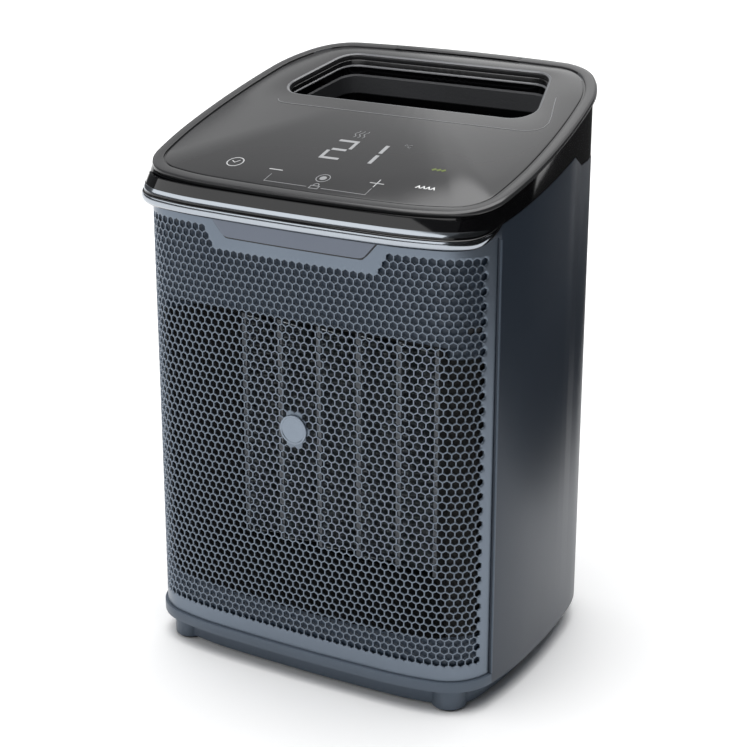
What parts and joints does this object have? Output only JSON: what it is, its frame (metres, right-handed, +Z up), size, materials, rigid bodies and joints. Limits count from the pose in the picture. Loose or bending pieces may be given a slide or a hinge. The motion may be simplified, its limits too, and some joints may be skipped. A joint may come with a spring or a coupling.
{
  "type": "ceramic fan heater",
  "caption": "Compact upright ceramic fan heater with a curved hexagon grille, sloping smoked touch panel, finger-pocket handle, flared lip, recessed plinth and rear intake filter.",
  "frame": {"origin": "on the floor, under the middle of the bounding box", "axes": "+Z up, the grille faces -Y, +X to the right seen from the front"},
  "size_m": [0.1916, 0.1702, 0.2829],
  "materials": {
    "shell_plastic": "satin slate moulding",
    "grille_metal": "satin blue-grey paint on a perforated sheet",
    "plate_metal": "satin blue-grey",
    "duct_plastic": "blue-grey heat-resistant moulding",
    "base_plastic": "matt blue-grey moulding",
    "gloss_black": "high-gloss black",
    "lip_gloss": "high-gloss dark grey",
    "smoked_panel": "smoked touch panel",
    "rubber": "soft dark rubber",
    "steel": "zinc-plated steel",
    "aluminium": "bare aluminium",
    "ceramic": "brown ceramic in black wrap",
    "brass": "bare brass",
    "board_green": "solder-masked board",
    "black_plastic": "matt black moulding",
    "copper": "enamelled copper",
    "filter_cloth": "open nylon mesh"
  },
  "bodies": {
    "housing": {"body_shell": "shell_plastic", "rear_cover": "shell_plastic", "rear_frame": "black_plastic", "plinth_base": "base_plastic", "rubber_feet": "rubber", "base_screws": "steel", "rear_screws": "steel", "front_grille": "grille_metal", "name_plate": "plate_metal", "round_badge": "plate_metal", "front_lip": "lip_gloss", "touch_panel": "smoked_panel", "grip_insert": "gloss_black", "top_housing": "gloss_black", "handle_pocket": "gloss_black", "touch_board": "board_green", "touch_springs": "steel", "digit_display": "black_plastic", "outlet_duct": "duct_plastic", "heater_frame": "black_plastic", "ceramic_bars": "ceramic", "heater_fins": "aluminium", "terminals": "brass", "thermal_cutout": "aluminium", "fan_duct": "black_plastic", "motor_can": "steel", "motor_bushes": "brass", "motor_coils": "copper", "motor_bracket": "steel", "motor_screws": "steel", "inner_shelf": "black_plastic", "power_board": "board_green", "board_screws": "steel", "board_parts": "black_plastic", "room_sensor": "black_plastic", "rocker_housing": "black_plastic", "rocker_pin": "steel", "cord_gland": "rubber", "tip_switch": "black_plastic", "tip_spring": "steel"},
    "fan_rotor": {"impeller": "black_plastic", "motor_shaft": "steel", "motor_rotor": "steel"},
    "mains_rocker": {"mains_rocker": "gloss_black"},
    "intake_filter": {"intake_filter_frame": "black_plastic", "filter_mesh": "filter_cloth"},
    "tip_plunger": {"tip_plunger": "black_plastic"}
  },
  "joints": [
    {"name": "fan_spin", "type": "hinge", "parent": "housing", "child": "fan_rotor", "pos_m": [0, 0.01645, 0.1103], "axis": [0, 1, 0], "continuous": true},
    {"name": "power_rocker", "type": "hinge", "parent": "housing", "child": "mains_rocker", "pos_m": [-0.024, 0.08055, 0.034], "axis": [0, 0, 1], "range_deg": [0, 16]},
    {"name": "filter_pull", "type": "slide", "parent": "housing", "child": "intake_filter", "axis": [0, 1, 0], "range_m": [0, 0.03]},
    {"name": "tip_plunger_slide", "type": "slide", "parent": "housing", "child": "tip_plunger", "axis": [0, 0, -1], "range_m": [0, 0.004], "stiffness_N_per_m": 40, "springref_m": 0.006, "deforming": ["tip_spring"]}
  ]
}
